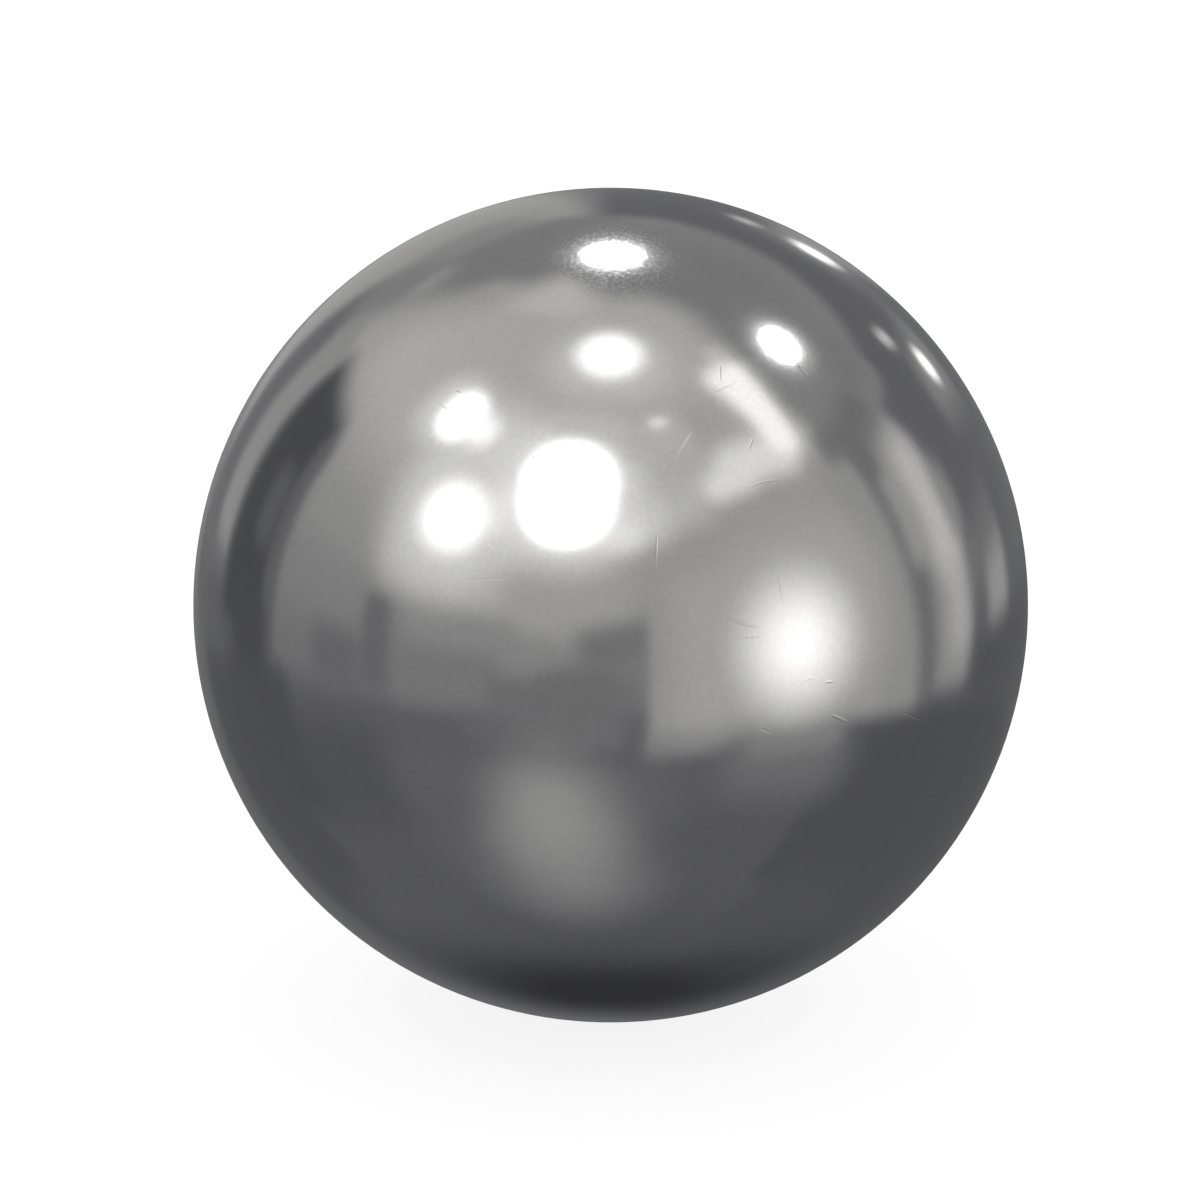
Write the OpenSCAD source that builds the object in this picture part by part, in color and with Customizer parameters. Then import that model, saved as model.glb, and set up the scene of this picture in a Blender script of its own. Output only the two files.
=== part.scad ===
// Solid steel ball, such as rolls in a bearing or seals a check valve.
// It is one piece. A slug of bearing steel is headed between two half-round
// dies, hardened, then ground and lapped until no flash line, pole or flat is
// left, so its true form is a plain sphere. The origin is its centre.

/* [Ball] */
// Diameter, the same between any two opposite points
ball_d = 25.4; // [3:0.1:100]

/* [Hidden] */

// Bright lapped steel
polished_steel = [0.60, 0.60, 0.60];

// Facets round the equator in a preview
ball_facets = 180;

module ball() {
    color(polished_steel)
        sphere(d = ball_d, $fn = ball_facets);
}

ball();
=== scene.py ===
# %% [markdown]
# # A polished steel ball
# A mirror-bright ball has almost no look of its own. What the eye reads as polished steel
# is the room that the ball reflects, a haze where the lapping left a faint grain, and the
# few scratches that come from handling. This lesson builds those three things around the
# measured solid: a studio for it to reflect, a true round surface with scratches cut into
# it, and a metal finish that blurs a reflection just a little.

# %% Load the measured solid
import math
import random
from collections import namedtuple

import bmesh
import bpy
from mathutils import Euler, Matrix, Vector
from mathutils.kdtree import KDTree


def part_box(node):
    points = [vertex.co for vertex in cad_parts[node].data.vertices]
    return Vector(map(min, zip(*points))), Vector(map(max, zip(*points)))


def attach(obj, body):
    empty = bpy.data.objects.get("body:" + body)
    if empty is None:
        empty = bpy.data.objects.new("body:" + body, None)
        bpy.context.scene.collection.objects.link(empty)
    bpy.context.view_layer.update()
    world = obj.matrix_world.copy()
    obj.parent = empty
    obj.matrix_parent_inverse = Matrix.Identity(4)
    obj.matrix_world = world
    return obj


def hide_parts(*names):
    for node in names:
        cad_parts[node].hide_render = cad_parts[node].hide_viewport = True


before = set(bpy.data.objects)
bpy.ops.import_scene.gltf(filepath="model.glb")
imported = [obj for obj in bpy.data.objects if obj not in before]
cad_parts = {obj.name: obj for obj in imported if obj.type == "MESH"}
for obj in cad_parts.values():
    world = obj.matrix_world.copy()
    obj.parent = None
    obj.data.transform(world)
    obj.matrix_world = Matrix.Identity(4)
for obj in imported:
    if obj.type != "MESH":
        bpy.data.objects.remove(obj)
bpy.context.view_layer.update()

lowest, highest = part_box("ball")
centre = (lowest + highest) / 2
radius = min(highest - lowest) / 2
MM = 0.001
print(f"ball of {2 * radius / MM:.2f} mm, middle at {tuple(round(c / MM, 3) for c in centre)}")

# %% [markdown]
# ## The camera
# The ball is seen from a little above, as a thing on a table is, through a long lens that
# keeps its outline round. The distance follows from how much of the square frame the ball
# fills: a lens sees a ball under the angle whose sine is radius over distance. The ball
# sits a little right of the middle and a little low, so the camera looks past it by that much.

# %% Camera
FRAME_PIXELS = 1200
BALL_PIXELS = 835
BALL_RIGHT_PIXELS = 10.5
BALL_LOW_PIXELS = 5
CAMERA_RISE = math.radians(15)
LENS_MM = 100
SENSOR_MM = 36
CLIP_FACTOR = 100

half_view = SENSOR_MM / 2 / LENS_MM
ball_half_angle = math.atan(half_view * BALL_PIXELS / FRAME_PIXELS)
distance = radius / math.sin(ball_half_angle)
to_camera = Vector((0, -math.cos(CAMERA_RISE), math.sin(CAMERA_RISE)))

camera_data = bpy.data.cameras.new("camera")
camera_data.lens = LENS_MM
camera_data.sensor_width = SENSOR_MM
camera_data.clip_start = distance / CLIP_FACTOR
camera_data.clip_end = distance * CLIP_FACTOR
camera = bpy.data.objects.new("camera", camera_data)
bpy.context.scene.collection.objects.link(camera)
turn_to_ball = (-to_camera).to_track_quat("-Z", "Y")
metres_a_pixel = 2 * half_view * distance / FRAME_PIXELS
look_past = Vector((-BALL_RIGHT_PIXELS, BALL_LOW_PIXELS, 0)) * metres_a_pixel
camera.location = centre + to_camera * distance + turn_to_ball @ look_past
camera.rotation_euler = turn_to_ball.to_euler()
bpy.context.scene.camera = camera
bpy.context.scene.view_settings.view_transform = "Standard"
print(f"camera {distance / MM:.0f} mm away, {math.degrees(CAMERA_RISE):.0f} degrees up")

# %% [markdown]
# ## Node helpers
# Every shader below is a short chain of steps, so a few helpers keep the cells readable.
# One adds a node by its type, and one wires what it is given. Two add a step of arithmetic,
# on numbers or on vectors. One blends two values, one stretches a part of a value's range
# with soft ends, and one starts a node group.


# %% Helpers for node trees
def add_node(tree, kind, **settings):
    """A new node of this kind, with the given settings."""
    made = tree.nodes.new(kind)
    for setting, value in settings.items():
        setattr(made, setting, value)
    return made


def wire(tree, value, socket):
    """Joins an output to a socket, or sets a plain value on it."""
    if isinstance(value, bpy.types.NodeSocket):
        tree.links.new(value, socket)
    else:
        socket.default_value = value


def number_step(tree, operation, *values):
    """One Math node. Returns its output."""
    step = add_node(tree, "ShaderNodeMath", operation=operation)
    for value, socket in zip(values, step.inputs):
        wire(tree, value, socket)
    return step.outputs["Value"]


def vector_step(tree, operation, *values):
    """One Vector Math node. Returns its number for a length or a dot product, or its vector."""
    step = add_node(tree, "ShaderNodeVectorMath", operation=operation)
    for value, socket in zip(values, step.inputs):
        wire(tree, value, socket)
    return step.outputs["Value" if operation in ("LENGTH", "DOT_PRODUCT") else "Vector"]


def blend(tree, factor, first, second, data_type="FLOAT"):
    """A Mix node, on plain numbers or on colours. Returns its output."""
    step = add_node(tree, "ShaderNodeMix", data_type=data_type)
    sockets = {socket.name: socket for socket in step.inputs if socket.enabled}
    wire(tree, factor, sockets["Factor"])
    wire(tree, first, sockets["A"])
    wire(tree, second, sockets["B"])
    return next(socket for socket in step.outputs if socket.enabled)


def spread(tree, value, low, high, top):
    """Stretches the part of a value from low to high over 0 to top, with soft ends."""
    step = add_node(tree, "ShaderNodeMapRange", interpolation_type="SMOOTHSTEP")
    wire(tree, value, step.inputs["Value"])
    wire(tree, low, step.inputs["From Min"])
    wire(tree, high, step.inputs["From Max"])
    wire(tree, top, step.inputs["To Max"])
    return step.outputs["Result"]


def new_group(name, takes, gives):
    """An empty shader group, its given values and its results, by name."""
    group = bpy.data.node_groups.new(name, "ShaderNodeTree")
    for title, kind in takes:
        group.interface.new_socket(title, in_out="INPUT", socket_type="NodeSocket" + kind)
    for title, kind in gives:
        group.interface.new_socket(title, in_out="OUTPUT", socket_type="NodeSocket" + kind)
    given = group.nodes.new("NodeGroupInput").outputs
    results = group.nodes.new("NodeGroupOutput").inputs
    return group, given, results


# %% [markdown]
# ## The studio
# In a studio, a mirror ball is lit with cards: bright ones for the highlights, pale ones
# to fill the sides and dark ones to give the edges their contrast. Real cards could stand
# round the ball as glowing planes, but then each would need hiding from the camera and
# would throw noise on the floor. Here they are drawn on the sky instead, with one node
# group that turns a place on the sky into the mask of one soft-edged card. The trick is
# the distance to a box with round corners: shrink the card by its corner radius, measure
# how far outside that core a point lies, and fade where the distance passes the radius.


# %% The group that draws one card
def build_card_group():
    """Mask of a card: 1 inside it, 0 outside. Place and sizes are in degrees."""
    group, given, results = new_group(
        "Studio card",
        [("Place", "Vector"), ("Core", "Vector"), ("Corner", "Float"), ("Edge", "Float")],
        [("Mask", "Float")],
    )
    outside = vector_step(group, "ABSOLUTE", given["Place"])
    outside = vector_step(group, "SUBTRACT", outside, given["Core"])
    outside = vector_step(group, "MAXIMUM", outside, (0, 0, 0))
    distance_out = vector_step(group, "LENGTH", outside)
    dark_from = number_step(group, "ADD", given["Corner"], given["Edge"])
    bright_to = number_step(group, "SUBTRACT", given["Corner"], given["Edge"])
    wire(group, spread(group, distance_out, dark_from, bright_to, 1), results["Mask"])
    return group


card_group = build_card_group()
print(f"card group of {len(card_group.nodes)} nodes")

# %% [markdown]
# Each card has a turn and a rise, in degrees as seen from the ball: turn 0 is towards the
# camera and 90 is to its right. Light says how bright the card looks to the ball, where 1
# is as bright as white paper, and edge is how soft its outline is. Walls stand upright,
# so their sides run straight up, unless they lean. Lamps face the ball, and may be rolled.
# As the ball mirrors them, a lean counts counter-clockwise and a roll clockwise. The cards
# are laid in order, like paint: the walls first, then the lamps. A bright card often lies
# on a wider and dimmer one, its halo.

# %% The cards
Wall = namedtuple("Wall", "turn rise width height light edge lean", defaults=(0,))
Lamp = namedtuple("Lamp", "turn rise width height light edge corner roll")

# Rise and light of the bare surround, from straight down to near the zenith
SURROUND = [
    (-90, 0.128), (-60, 0.15), (-26, 0.155), (-18, 0.17), (-9, 0.26),
    (8, 0.34), (20, 0.415), (45, 0.64), (72, 0.60),
]

WALLS = {
    "right_ceiling_shadow": Wall(140, 52.3, 88, 38.6, 0.28, 6, 5),
    "right_ceiling_foot": Wall(150, 36, 44, 14, 0.305, 5),
    "right_ceiling_corner": Wall(97, 44.5, 28, 31, 0.31, 4.5),
    "back_ceiling_fade": Wall(-150, 46, 44, 38, 0.52, 12),
    "back_ceiling_shadow": Wall(-163, 49, 46, 42, 0.28, 8, -5),
    "back_ceiling_corner": Wall(-141, 59, 14, 12, 0.52, 6),
    "ceiling_left_glow": Wall(-148, 71, 34, 15, 0.71, 6),
    "ceiling_dark_patch": Wall(49, 58, 22, 14, 0.53, 5),
    "left_strip_glow": Wall(-147, 38, 11, 6, 0.41, 2.8),
    "back_wall": Wall(-166, 14.6, 30, 34.8, 0.44, 3),
    "back_wall_shoulder": Wall(-160.5, 29, 19, 12, 0.35, 4.5),
    "front_fill": Wall(-12.5, 16.8, 43, 24.4, 0.52, 9),
    "left_low": Wall(-43, -4, 36, 20, 0.285, 5),
    "front_low": Wall(-14, -14, 36, 20, 0.235, 4),
    "front_low_corner": Wall(-33, -19, 14, 8, 0.21, 4),
    "front_ridge": Wall(-22, 0, 15, 9, 0.36, 4),
    "front_dark_spot": Wall(1.5, 4.2, 21, 11.6, 0.255, 4, 12),
    "front_dark_streak": Wall(-10, -6, 20, 6, 0.235, 3),
    "bench_left_glow": Wall(-42, -31, 44, 17, 0.18, 7),
    "right_far_wall": Wall(147, 8.5, 70, 51, 0.175, 3),
    "right_far_skirting": Wall(124, -0.5, 24, 9, 0.235, 3.5),
    "right_far_glow": Wall(129.8, -7.2, 13.6, 8.8, 0.43, 3.4),
    "right_far_foot": Wall(148, -15.5, 66, 8, 0.13, 3),
    "right_far_lip": Wall(118.5, 32.5, 15, 5, 0.31, 2.2),
    "right_gap": Wall(90.3, 8, 12.5, 58, 0.225, 3),
    "right_strip_top": Wall(96, 16, 9, 19, 0.465, 3),
    "right_strip": Wall(104.2, 5.5, 14.4, 45, 0.40, 3),
    "right_strip_low": Wall(107.2, 1.4, 9.4, 26.6, 0.60, 4.7),
    "right_strip_sheen": Wall(106, 14.5, 11.3, 25, 0.74, 5.5),
    "right_strip_glow": Wall(114, 11, 7, 12, 0.36, 3.4),
    "right_strip_shade": Wall(96.5, 36.5, 26, 8, 0.235, 3.2),
    "right_wall": Wall(47.75, 6, 75.5, 68, 0.47, 1.5),
    "right_wall_left": Wall(28, 0, 22, 42, 0.55, 6),
    "right_wall_right": Wall(81.6, 6, 12.8, 60, 0.43, 3.5, 4.5),
    "right_wall_notch": Wall(84, 38, 9, 8, 0.25, 2.5),
    "right_wall_foot": Wall(24, -27, 28, 16, 0.38, 5),
    "left_ledge": Wall(-41, 4.5, 33, 8, 0.37, 4),
    "left_box": Wall(-48.3, 20.9, 40, 17.8, 0.56, 4.5, -3),
    "left_low_shade": Wall(-78, -7.5, 16, 12, 0.205, 4),
    "left_dark_line": Wall(-65, -1.5, 8.4, 21, 0.205, 2),
    "bench_left_fade": Wall(-86, -32, 36, 22, 0.134, 6),
    "bench_left_shade": Wall(-122, -26, 50, 26, 0.12, 4),
    "left_back_foot": Wall(-142.5, -11, 29, 9, 0.17, 3.5),
    "doorway": Wall(-117, 9.8, 26, 43.2, 0.098, 4),
    "doorway_side": Wall(-105, 7.3, 6, 40.6, 0.18, 2),
    "doorway_shelf": Wall(-113.5, 10, 8, 13, 0.165, 3),
    "doorway_foot": Wall(-114, -9.5, 17, 13, 0.105, 4),
    "left_strip": Wall(-137, 13, 12, 34, 0.395, 2),
    "left_post_top": Wall(-150, 26, 12, 16, 0.30, 4),
    "left_post": Wall(-148.3, 6, 12.6, 30, 0.205, 3.6),
    "bench_left_back": Wall(-130, -42, 40, 13, 0.122, 5),
    "bench_slope": Wall(34, -42.5, 64, 38, 0.15, 3, 8.3),
    "bench_right": Wall(120, -39.5, 116, 40, 0.12, 3),
    "bench_right_foot": Wall(108, -64, 70, 22, 0.13, 6),
}
LAMPS = {
    "bench_right_glow": Lamp(50, -28.8, 34, 16.6, 0.23, 8, 8.2, 0),
    "bench_edge_glow": Lamp(51.5, -23.4, 26, 6.2, 0.315, 3.1, 3.1, -3),
    # The next four cards are a painted pool of lamp light on the bench, and own_shadow is the ball's
    # painted shadow on it.
    "bench_light_pool_skirt": Lamp(-42, -52, 24, 26, 0.185, 10, 12, 0),
    "bench_light_pool_side": Lamp(8, -36, 22, 22, 0.19, 9, 11, 0),
    "bench_light_pool_low": Lamp(-15.5, -59.5, 25, 28, 0.33, 12, 12.5, 0),
    "bench_light_pool": Lamp(-18, -41.8, 24, 29, 0.435, 11, 12, 0),
    "own_shadow": Lamp(180, -65.2, 35, 35.4, 0.045, 12, 16.5, 0),
    "right_soft_halo": Lamp(52.2, 5.8, 50, 44.4, 0.56, 7, 20, 0),
    "overhead_halo": Lamp(-3, 81.5, 27, 21, 0.77, 5.5, 10.5, 0),
    "window_glow": Lamp(10, 38.8, 36, 11.6, 0.71, 5, 5.8, -10),
    "window_band_left": Lamp(42.5, 42.8, 14, 7.2, 1.14, 3.6, 3.6, -6),
    "key_trail": Lamp(9, 35.4, 16, 10, 0.90, 5, 5, -8),
    "window_band": Lamp(57, 45.5, 22.6, 9.8, 1.12, 4, 4.8, 9),
    "left_flag_halo": Lamp(-79, 52.2, 14, 17.5, 0.93, 4, 7, 0),
    "left_haze": Lamp(-45, 44, 36, 34, 0.95, 8, 14, 0),
    "left_round_halo": Lamp(-50, 29, 34, 31, 0.95, 9, 15, 0),
    "key_haze": Lamp(-15.7, 42.5, 36.6, 35, 1.10, 7, 16, 0),
    "key_left_glow": Lamp(-36, 36.5, 6, 13, 1.25, 3, 3, 0),
    "key_foot": Lamp(2.5, 33, 11, 7, 1.22, 3.5, 3.5, -8),
    "lamp_behind_halo": Lamp(179.2, 57, 15, 15, 0.46, 3.5, 7.5, 0),
    "lamp_right_halo": Lamp(113.4, 53.2, 15, 13, 0.50, 3, 6, 13),
    "overhead": Lamp(-3, 84.7, 12, 12, 2.6, 4, 6, 0),
    "ceiling_haze": Lamp(20, 58, 16, 10, 0.69, 4, 5, 0),
    "ceiling_gap": Lamp(-11, 63, 18, 7, 0.75, 3.5, 3.5, 0),
    "key": Lamp(-15.2, 43.8, 23.4, 27.4, 3.2, 2.5, 11, -3.5),
    "left_round": Lamp(-50.2, 31.8, 15.8, 14.4, 2.6, 5, 7.2, 0),
    "left_flag": Lamp(-71.3, 53.1, 11.4, 12.6, 2.6, 2, 5.5, 0),
    "left_flag_tail": Lamp(-62, 53.3, 12, 7.5, 1.8, 3, 3.5, 0),
    "streak_haze": Lamp(87, 62, 7, 20, 0.56, 3.5, 3.5, 26),
    "streak_tip": Lamp(91, 67.8, 5.6, 5, 0.78, 2.2, 2.5, 0),
    "window_streak": Lamp(72.3, 55.4, 6.3, 24.8, 1.6, 3.15, 3.15, 3),
    "window_streak_side": Lamp(75.7, 55.2, 7, 23.5, 1.56, 2.5, 3, 22),
    "star": Lamp(25, 62.7, 4.3, 2.2, 1.5, 1.1, 1.1, 0),
    "right_soft": Lamp(50.3, 0.8, 23.6, 23.6, 1.8, 11.8, 11.8, 0),
    "far_right_halo": Lamp(163, 15, 10, 14, 0.25, 5, 5, -25),
    "far_right_streak": Lamp(146, 11, 22, 8, 0.31, 3.5, 4, 25),
    "far_right_tail": Lamp(167.3, 7.5, 5, 22, 0.35, 2, 2.5, -26),
    "far_right_a": Lamp(146.5, 11.8, 5.3, 3.1, 2.4, 1.4, 1.5, 40),
    "far_right_b": Lamp(163.7, 13.3, 2.9, 6.4, 2.3, 1.3, 1.4, -25),
    "far_right_c": Lamp(141.2, 22.8, 5.4, 2.6, 0.80, 1.2, 1.3, 42),
    "far_right_d": Lamp(169.2, 15.5, 2, 4.5, 0.68, 1, 1, -22),
}


# %% [markdown]
# A card has to know how far from its middle a ray passes. For a wall that is simply the
# difference in turn and in rise, so a wall narrows towards the top, like a strip between
# two meridians. A lamp must stay round wherever it hangs. It turns the ray into its own
# frame, in which it lies straight ahead, and reads the place there. In that view the back
# of the sky looks like the front, so the depth counts too: a ray that leaves backwards is
# far outside the card.

# %% Helpers that place a card on the sky
HALF_TURN = 180


def place_on_wall(tree, heading, wall):
    """How far a direction lies from an upright card's middle, in degrees each way."""
    offset = vector_step(tree, "SUBTRACT", heading, (wall.turn, wall.rise, 0))
    offset = vector_step(tree, "WRAP", offset, (HALF_TURN,) * 3, (-HALF_TURN,) * 3)
    if not wall.lean:
        return offset
    turned = add_node(tree, "ShaderNodeVectorRotate", rotation_type="Z_AXIS")
    wire(tree, offset, turned.inputs["Vector"])
    wire(tree, math.radians(-wall.lean), turned.inputs["Angle"])
    return turned.outputs["Vector"]


def place_on_lamp(tree, direction, lamp):
    """The same for a card that faces the ball. Its back is pushed far away."""
    facing = (Euler((0, 0, math.radians(lamp.turn))).to_matrix()
              @ Euler((-math.radians(lamp.rise), 0, 0)).to_matrix()
              @ Euler((0, math.radians(lamp.roll), 0)).to_matrix())
    turned = add_node(tree, "ShaderNodeVectorRotate", rotation_type="EULER_XYZ", invert=True)
    wire(tree, direction, turned.inputs["Vector"])
    wire(tree, facing.to_euler(), turned.inputs["Rotation"])
    degrees = math.degrees(1)
    return vector_step(tree, "MULTIPLY_ADD", turned.outputs["Vector"], (degrees,) * 3, (0, degrees, 0))


# %% Helpers that lay a card
# How deep the core of a lamp reaches, in degrees. A ray that leaves forwards stays in it.
FRONT_DEPTH = 50


def lay_card(tree, under, place, core, corner, card, name):
    """Lays one card over the light that is under it, and returns the new light."""
    placed = add_node(tree, "ShaderNodeGroup", node_tree=card_group, name=name, label=name)
    wire(tree, place, placed.inputs["Place"])
    wire(tree, core, placed.inputs["Core"])
    wire(tree, corner, placed.inputs["Corner"])
    wire(tree, card.edge, placed.inputs["Edge"])
    return blend(tree, placed.outputs["Mask"], under, card.light)


def lay_wall(tree, under, heading, wall, name):
    """An upright card, with corners as round as its edge is soft."""
    core = (wall.width / 2 - wall.edge, wall.height / 2 - wall.edge, 0)
    return lay_card(tree, under, place_on_wall(tree, heading, wall), core, wall.edge, wall, name)


def lay_lamp(tree, under, direction, lamp, name):
    """A card that faces the ball."""
    core = (lamp.width / 2 - lamp.corner, FRONT_DEPTH, lamp.height / 2 - lamp.corner)
    return lay_card(tree, under, place_on_lamp(tree, direction, lamp), core, lamp.corner, lamp, name)


# %% [markdown]
# The sky itself starts from the direction of a ray, and turns it into a turn and a rise.
# The bare surround changes only with rise, from a dark bench up to a pale ceiling, and
# the cards are laid over it one by one.

# %% A new sky
world = bpy.data.worlds.new("studio")
world.use_nodes = True
bpy.context.scene.world = world
sky = world.node_tree
sky.nodes.clear()
whereabouts = add_node(sky, "ShaderNodeTexCoord")
direction = vector_step(sky, "NORMALIZE", whereabouts.outputs["Generated"])
parts = add_node(sky, "ShaderNodeSeparateXYZ")
wire(sky, direction, parts.inputs[0])
to_front = number_step(sky, "MULTIPLY", parts.outputs["Y"], -1.0)
turn = number_step(sky, "DEGREES", number_step(sky, "ARCTAN2", parts.outputs["X"], to_front))
rise = number_step(sky, "DEGREES", number_step(sky, "ARCSINE", parts.outputs["Z"]))
heading = add_node(sky, "ShaderNodeCombineXYZ")
wire(sky, turn, heading.inputs["X"])
wire(sky, rise, heading.inputs["Y"])
heading = heading.outputs["Vector"]

# %% The bare surround
light = SURROUND[0][1]
for (low, _), (high, level) in zip(SURROUND, SURROUND[1:]):
    light = blend(sky, spread(sky, rise, low, high, 1), light, level)

# %% Lay the cards
for name, wall in WALLS.items():
    light = lay_wall(sky, light, heading, wall, name)
for name, lamp in LAMPS.items():
    light = lay_lamp(sky, light, direction, lamp, name)
print(f"sky with {len(WALLS)} walls and {len(LAMPS)} lamps")

# %% [markdown]
# Only a mirrored ray sees the cards. Their uneven light would stain the floor, so a Light
# Path node gives every other ray a plain white room. In a real studio the shade is a
# touch bluer than what the lamps light, so the tint of the cards follows their light.

# %% The ball mirrors the cards, and everything else sees a plain white room
ROOM_LIGHT = 1.04
WHITE = (1, 1, 1, 1)
COOL_SHADE = (0.972, 0.985, 1.045, 1)
WARM_LIGHT = (1.011, 1.003, 0.985, 1)
FULLY_WARM = 0.5

mirrored = add_node(sky, "ShaderNodeBackground", label="what the ball mirrors")
tint = blend(sky, spread(sky, light, 0, FULLY_WARM, 1), COOL_SHADE, WARM_LIGHT, "RGBA")
wire(sky, tint, mirrored.inputs["Color"])
wire(sky, light, mirrored.inputs["Strength"])
room = add_node(sky, "ShaderNodeBackground", label="soft white room")
wire(sky, WHITE, room.inputs["Color"])
wire(sky, ROOM_LIGHT, room.inputs["Strength"])
ray = add_node(sky, "ShaderNodeLightPath")
chosen = add_node(sky, "ShaderNodeMixShader")
wire(sky, ray.outputs["Is Glossy Ray"], chosen.inputs["Fac"])
wire(sky, room.outputs[0], chosen.inputs[1])
wire(sky, mirrored.outputs[0], chosen.inputs[2])
sky_out = add_node(sky, "ShaderNodeOutputWorld")
wire(sky, chosen.outputs[0], sky_out.inputs["Surface"])
world.cycles.sampling_method = "NONE"

# %% [markdown]
# ## The bare lamps
# Two lamps have no card in front of them, and are six times as bright as the brightest
# card. That brightness is what lights up the grain of the steel for a millimetre or two
# round the reflection of each. Drawn on the sky they would be noisy, because a ray finds
# so small a thing only by luck. As area lights Blender aims at them, and they stand so far
# away that the ball sees them in the same direction all over.

# %% Bare lamps
BareLamp = namedtuple("BareLamp", "turn rise width height light roll")
BARE_LAMPS = {
    "lamp_behind": BareLamp(179.2, 56.6, 8.3, 9.8, 20, 0),
    "lamp_right": BareLamp(113.3, 53.5, 8.6, 6.9, 20, 10),
}
LAMP_DISTANCE = 5


def outward(turn, rise):
    """The direction from the ball's middle at this turn and rise."""
    turn = math.radians(turn)
    rise = math.radians(rise)
    return Vector((math.sin(turn) * math.cos(rise), -math.cos(turn) * math.cos(rise), math.sin(rise)))


def hang_lamp(name, lamp):
    """An area light of the lamp's angular size, which faces the ball."""
    data = bpy.data.lights.new(name, "AREA")
    data.shape = "ELLIPSE"
    data.size = 2 * LAMP_DISTANCE * math.tan(math.radians(lamp.width / 2))
    data.size_y = 2 * LAMP_DISTANCE * math.tan(math.radians(lamp.height / 2))
    area = math.pi / 4 * data.size * data.size_y
    data.energy = lamp.light * math.pi * area
    hung = bpy.data.objects.new(name, data)
    out = outward(lamp.turn, lamp.rise)
    hung.location = centre + out * LAMP_DISTANCE
    roll = Matrix.Rotation(math.radians(-lamp.roll), 3, "Z")
    hung.rotation_euler = (out.to_track_quat("Z", "Y").to_matrix() @ roll).to_euler()
    hung.visible_camera = False
    hung.visible_diffuse = False
    bpy.context.scene.collection.objects.link(hung)


for name, lamp in BARE_LAMPS.items():
    hang_lamp(name, lamp)
print(f"{len(BARE_LAMPS)} bare lamps, {LAMP_DISTANCE} m away")

# %% [markdown]
# ## The floor
# The ball stands on a pale light table, lit from above and from inside. Most of its light
# comes from inside, so the ball's shadow on it stays faint. One flat face is enough, and
# the ball doesn't mirror it: the sky already has a bench for that.

# %% Floor
FLOOR_SIZE = 2.0
TABLE_GREY = (0.2, 0.2, 0.2, 1)
TABLE_ROUGHNESS = 0.9
TABLE_GLOW = 0.86

floor_mesh = bpy.data.meshes.new("floor")
shape = bmesh.new()
bmesh.ops.create_grid(shape, x_segments=1, y_segments=1, size=FLOOR_SIZE / 2)
bmesh.ops.translate(shape, verts=shape.verts, vec=(centre.x, centre.y, lowest.z))
shape.to_mesh(floor_mesh)
shape.free()
floor = bpy.data.objects.new("floor", floor_mesh)
bpy.context.scene.collection.objects.link(floor)
floor.visible_glossy = False

floor_paint = bpy.data.materials.new("light_table")
floor_paint.use_nodes = True
table_shader = floor_paint.node_tree.nodes["Principled BSDF"]
table_shader.inputs["Base Color"].default_value = TABLE_GREY
table_shader.inputs["Roughness"].default_value = TABLE_ROUGHNESS
table_shader.inputs["Specular IOR Level"].default_value = 0.0
table_shader.inputs["Emission Color"].default_value = WHITE
table_shader.inputs["Emission Strength"].default_value = TABLE_GLOW
floor_mesh.materials.append(floor_paint)
print(f"floor {FLOOR_SIZE:.0f} m wide, at {lowest.z / MM:.2f} mm")

# %% [markdown]
# ## The marks of handling
# A ball comes off the lapping plates perfect, and then it rolls against its neighbours in
# a box. That leaves short bright nicks, hair-fine scratches and small dents, about a tenth
# of a millimetre wide at most. Bump could fake them, but in a mirror even a shallow groove
# catches a different part of the room on each of its walls, so here they are cut into the
# metal. Each mark is a short line on the surface. Turn and rise say where its middle lies,
# counted as for the cards. Heading is its direction, counter-clockwise from level, and
# bend is how far its middle bows out. Sizes are in millimetres. A minus depth is a burr,
# where the metal was pushed up instead.

# %% The marks in front
Mark = namedtuple("Mark", "turn rise heading length bend width depth")
NICK_WIDTH = 0.075
HAIR_WIDTH = 0.060
DENT_WIDTH = 0.110
SCORE_DEPTH = 0.0040
NICK_DEPTH = 0.0028
HAIR_DEPTH = 0.0018
GRAZE_DEPTH = 0.0010
FAINT_DEPTH = 0.0005

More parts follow.
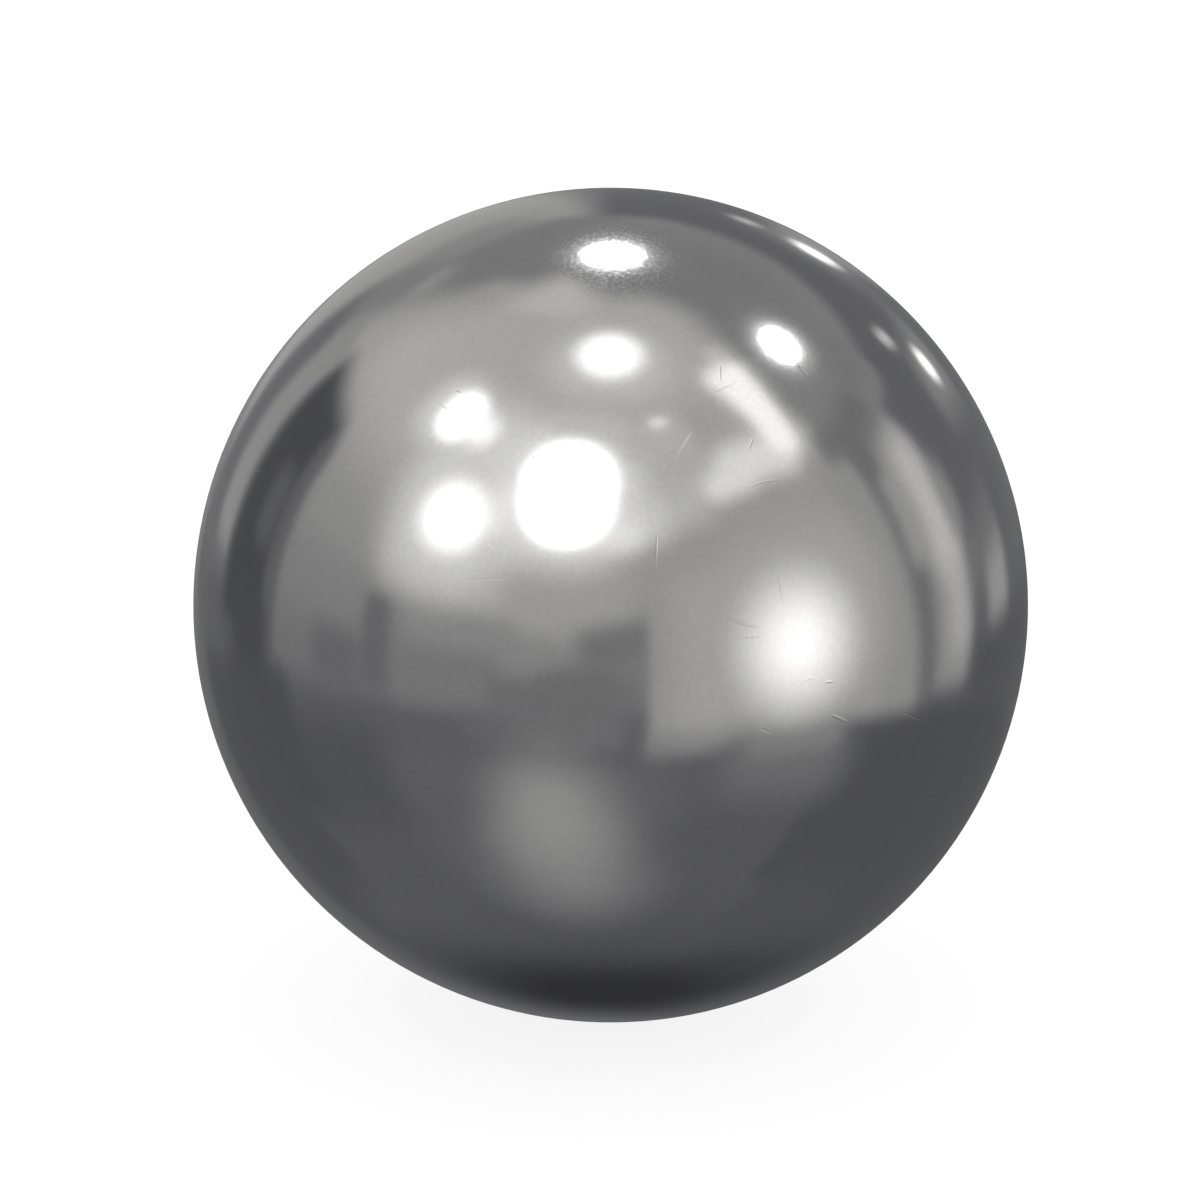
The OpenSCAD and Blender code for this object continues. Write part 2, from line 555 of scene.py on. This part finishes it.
FRONT_MARKS = [
    Mark(-27.6, 38.9, -28, 0.68, 0.00, HAIR_WIDTH, HAIR_DEPTH),
    Mark(-26.4, 41.5, -19, 0.25, 0.00, HAIR_WIDTH, SCORE_DEPTH),
    Mark(-11.5, 33, -52, 0.32, 0.00, HAIR_WIDTH, HAIR_DEPTH),
    Mark(10.8, 34.9, 57, 1.14, 0.00, NICK_WIDTH, NICK_DEPTH),
    Mark(21.2, 34.4, 59, 0.43, 0.00, NICK_WIDTH, HAIR_DEPTH),
    Mark(19.6, 42.5, 24, 0.90, 0.00, NICK_WIDTH, HAIR_DEPTH),
    Mark(19.2, 44.5, 76, 0.60, 0.00, NICK_WIDTH, HAIR_DEPTH),
    Mark(30.1, 29.5, -34, 0.67, 0.00, NICK_WIDTH, HAIR_DEPTH),
    Mark(35.4, 43.6, -72, 0.55, 0.00, NICK_WIDTH, SCORE_DEPTH),
    Mark(25.1, 3.6, 11, 0.76, 0.22, HAIR_WIDTH, -GRAZE_DEPTH),
    Mark(28, 3.8, -4, 0.26, 0.00, DENT_WIDTH, -NICK_DEPTH),
    Mark(22, 29.1, 8, 0.95, 0.07, NICK_WIDTH, -FAINT_DEPTH),
    Mark(5.8, 21.4, 86, 1.05, 0.00, NICK_WIDTH, HAIR_DEPTH),
    Mark(-16.7, 17.5, 6, 1.24, 0.03, HAIR_WIDTH, GRAZE_DEPTH),
    Mark(-16.1, 21.9, -33, 0.32, 0.00, HAIR_WIDTH, HAIR_DEPTH),
    Mark(21.8, 16.1, -85, 1.12, 0.01, HAIR_WIDTH, HAIR_DEPTH),
    Mark(16.6, 12.3, -19, 1.10, -0.02, DENT_WIDTH, SCORE_DEPTH),
    Mark(17.4, 10.5, -1, 0.60, 0.00, NICK_WIDTH, NICK_DEPTH),
    Mark(29.5, -1.1, -28, 0.57, 0.00, DENT_WIDTH, -NICK_DEPTH),
    Mark(19.2, -1.4, -25, 0.34, 0.00, HAIR_WIDTH, GRAZE_DEPTH),
    Mark(42.1, -3.3, -27, 1.07, 0.00, HAIR_WIDTH, GRAZE_DEPTH),
]

# %% [markdown]
# The rest of the ball has been handled as much as the front, so more marks are scattered
# round the sides, the back and below. The chance comes from a seeded generator, so that
# every run makes the same ball.

# %% The marks elsewhere
SCATTERED_MARKS = 44
HIGHEST_SINE = 0.92
SHORTEST_MARK = 0.25
EXTRA_LENGTH = 1.1
SHALLOWEST = 0.5
STRONGEST_BEND = 0.1
QUARTER_TURN = 90
FRONT_TURN = 50
FRONT_RISE = -10

chance = random.Random(11)


def scatter_mark():
    """A mark somewhere on the ball, short ones more often than long ones."""
    turn = chance.uniform(-HALF_TURN, HALF_TURN)
    rise = math.degrees(math.asin(chance.uniform(-HIGHEST_SINE, HIGHEST_SINE)))
    length = SHORTEST_MARK + EXTRA_LENGTH * chance.random() ** 2
    width = chance.choice((NICK_WIDTH, HAIR_WIDTH))
    depth = chance.uniform(SHALLOWEST, 1.0) * NICK_DEPTH
    bend = chance.uniform(-STRONGEST_BEND, STRONGEST_BEND) * length
    heading = chance.uniform(-QUARTER_TURN, QUARTER_TURN)
    return Mark(turn, rise, heading, length, bend, width, depth)


def off_the_front(mark):
    """Whether a mark lies clear of the part that has its own marks."""
    return abs(mark.turn) > FRONT_TURN or mark.rise < FRONT_RISE


scattered = [scatter_mark() for _ in range(SCATTERED_MARKS)]
marks = FRONT_MARKS + [mark for mark in scattered if off_the_front(mark)]
print(f"{len(marks)} marks, {sum(mark.length for mark in marks):.0f} mm of them in all")

# %% [markdown]
# A mark is first a row of points on the surface. Each point knows how deep and how wide
# the groove is there. The depth swells from nothing to the middle and dies away at the
# end, and the width tapers to four tenths of its full size.

# %% Trace the marks
POINT_SPACING = 0.008
END_WIDTH = 0.4
Point = namedtuple("Point", "place half_width depth")


def trace(mark):
    """The points of one mark, from end to end."""
    out = outward(mark.turn, mark.rise)
    level = Vector((math.cos(math.radians(mark.turn)), math.sin(math.radians(mark.turn)), 0))
    along = Matrix.Rotation(math.radians(mark.heading), 3, out) @ level
    across = out.cross(along)
    steps = math.ceil(mark.length / POINT_SPACING)
    points = []
    for step in range(1, steps):
        run = 2 * step / steps - 1
        swell = math.sqrt(1 - run * run)
        aside = along * run * mark.length / 2 + across * mark.bend * (1 - run * run)
        place = centre + (out * radius + aside * MM).normalized() * radius
        half_width = mark.width / 2 * MM * (END_WIDTH + (1 - END_WIDTH) * swell)
        points.append(Point(place, half_width, mark.depth * MM * swell))
    return points


traced = [point for mark in marks for point in trace(mark)]
nearest_trace = KDTree(len(traced))
for index, point in enumerate(traced):
    nearest_trace.insert(point.place, index)
nearest_trace.balance()
print(f"{len(traced)} points along the marks")

# %% [markdown]
# ## The ball
# An icosphere has evenly sized faces and no poles, which suits a mirror. To cut grooves
# a few hundredths wide it would need millions of faces, so only the mesh beside a mark is
# made finer: the edges there are halved, again and again, and each new corner is pushed
# back out to the true radius.

# %% Ball, finer beside the marks
EVEN_SUBDIVISIONS = 6
FINEST_EDGE = 0.018 * MM
WORTH_HALVING = 0.7

shape = bmesh.new()
bmesh.ops.create_icosphere(shape, subdivisions=EVEN_SUBDIVISIONS, radius=radius)
bmesh.ops.translate(shape, verts=shape.verts, vec=centre)
edge_length = min(edge.calc_length() for edge in shape.edges)
while edge_length > FINEST_EDGE:
    beside = []
    for edge in shape.edges:
        middle = (edge.verts[0].co + edge.verts[1].co) / 2
        _, index, gap = nearest_trace.find(middle)
        length = edge.calc_length()
        near = gap < traced[index].half_width + length / 2
        if near and length > edge_length * WORTH_HALVING:
            beside.append(edge)
    bmesh.ops.subdivide_edges(shape, edges=beside, cuts=1, use_grid_fill=True)
    bmesh.ops.triangulate(shape, faces=[face for face in shape.faces if len(face.verts) > 3])
    for corner in shape.verts:
        corner.co = centre + (corner.co - centre).normalized() * radius
    edge_length /= 2
print(f"{len(shape.faces)} triangles, the finest about {edge_length / MM:.3f} mm")

# %% [markdown]
# ## Cut the grooves
# A corner that lies within a groove sinks by a smooth, bell-shaped amount. The shading
# needs as much care as the shape: Blender averages the faces round a corner, and where
# large faces meet tiny ones that average leans, which a mirror shows as ripples. The true
# direction is known here, outwards from the middle and tilted by the groove's slope, so
# it is given to the mesh as custom normals.


# %% Sink the grooves
def groove(place):
    """How far the metal sinks at a place, and how the surface leans there."""
    _, index, _ = nearest_trace.find(place)
    nearest = traced[index]
    aside = place - nearest.place
    reach = aside.length / nearest.half_width
    if reach >= 1:
        return 0, Vector((0, 0, 0))
    slope = -4 * nearest.depth * reach * (1 - reach * reach) / nearest.half_width
    return nearest.depth * (1 - reach * reach) ** 2, aside.normalized() * slope


facings = []
sunk = 0
for corner in shape.verts:
    out = (corner.co - centre).normalized()
    sink, lean = groove(corner.co)
    corner.co -= out * sink
    facings.append((out + lean).normalized())
    sunk += sink > 0
for face in shape.faces:
    face.smooth = True
ball_mesh = bpy.data.meshes.new("polished_ball")
shape.to_mesh(ball_mesh)
shape.free()
ball_mesh.normals_split_custom_set_from_vertices(facings)
ball = bpy.data.objects.new("polished_ball", ball_mesh)
bpy.context.scene.collection.objects.link(ball)
print(f"{sunk} corners lie in a groove")

# %% [markdown]
# ## Polished steel
# Through-hardened steel reflects about six tenths of the light and hardly tints it.
# Polish leaves it rough by a trace only, which rounds off the edges of a reflection, and
# that trace differs a little from place to place where fingers have been. Lapping leaves
# a grain of a tenth of a millimetre: specks that scatter more than the metal round them,
# and show as fine sand beside a lamp. Far too shallow to model, the grain is noise that
# makes specks rougher and a shade lighter or darker, with a breath of bump under it. Near
# the crown some dust has settled, so the same specks are stronger there. A distance from
# the middle of that patch says how much of the dust a place gets.

# %% Steel
LIGHT_STEEL = (0.612, 0.612, 0.612, 1)
DARK_STEEL = (0.588, 0.588, 0.588, 1)
LIGHT_DUST = (0.64, 0.64, 0.64, 1)
DARK_DUST = (0.57, 0.57, 0.57, 1)
POLISH_ROUGHNESS = 0.095
SMUDGE_ROUGHNESS = 0.02
SPECK_ROUGHNESS = 0.014
DUST_ROUGHNESS = 0.025
SMUDGE_SIZE = 6 * MM
GRAIN_SIZE = 0.15 * MM
GRAIN_HEIGHT = 0.0002 * MM
SPECK_SIZE = 0.09 * MM
DUST_TURN = 1.5
DUST_RISE = 66
DUST_REACH = 2.4 * MM

# Which part of a noise counts: the shade of the grain and of the dust, then what is rough
GRAIN_SHADES = (0.3, 0.7)
DUST_SHADES = (0.4, 0.6)
SMUDGE_SPAN = (0.35, 0.70)
SPECK_SPAN = (0.42, 0.66)
DUST_SPAN = (0.50, 0.70)


def noise(tree, place, size, detail):
    """Noise with features of this size. Returns its grey output."""
    texture = add_node(tree, "ShaderNodeTexNoise")
    wire(tree, place, texture.inputs["Vector"])
    wire(tree, 1 / size, texture.inputs["Scale"])
    wire(tree, detail, texture.inputs["Detail"])
    return texture.outputs["Fac"]


steel = bpy.data.materials.new("lapped_steel")
steel.use_nodes = True
nodes = steel.node_tree
shader = nodes.nodes["Principled BSDF"]
shader.inputs["Metallic"].default_value = 1.0
where = add_node(nodes, "ShaderNodeTexCoord").outputs["Object"]

# %% Its grain in colour, roughness and bump
grain = noise(nodes, where, GRAIN_SIZE, detail=2)
specks = noise(nodes, where, SPECK_SIZE, detail=1)
dust_middle = centre + outward(DUST_TURN, DUST_RISE) * radius
from_dust = vector_step(nodes, "LENGTH", vector_step(nodes, "SUBTRACT", where, dust_middle))
dusty = spread(nodes, from_dust, DUST_REACH, DUST_REACH / 2, 1)

bare = blend(nodes, spread(nodes, grain, *GRAIN_SHADES, 1), DARK_STEEL, LIGHT_STEEL, "RGBA")
dust_shade = blend(nodes, spread(nodes, specks, *DUST_SHADES, 1), DARK_DUST, LIGHT_DUST, "RGBA")
wire(nodes, blend(nodes, dusty, bare, dust_shade, "RGBA"), shader.inputs["Base Color"])

smudges = noise(nodes, where, SMUDGE_SIZE, detail=3)
smudge = spread(nodes, smudges, *SMUDGE_SPAN, SMUDGE_ROUGHNESS)
speck = spread(nodes, specks, *SPECK_SPAN, SPECK_ROUGHNESS)
dust = spread(nodes, specks, *DUST_SPAN, DUST_ROUGHNESS)
dust = number_step(nodes, "MULTIPLY", dust, dusty)
rough_spots = number_step(nodes, "ADD", number_step(nodes, "ADD", smudge, speck), dust)
roughness = number_step(nodes, "ADD", rough_spots, POLISH_ROUGHNESS)
wire(nodes, roughness, shader.inputs["Roughness"])

bump = add_node(nodes, "ShaderNodeBump")
wire(nodes, GRAIN_HEIGHT, bump.inputs["Distance"])
wire(nodes, grain, bump.inputs["Height"])
wire(nodes, bump.outputs["Normal"], shader.inputs["Normal"])
ball_mesh.materials.append(steel)
print(f"{steel.name} of {len(nodes.nodes)} nodes")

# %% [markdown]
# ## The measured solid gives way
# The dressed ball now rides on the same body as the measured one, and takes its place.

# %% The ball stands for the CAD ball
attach(ball, "root")
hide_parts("ball")
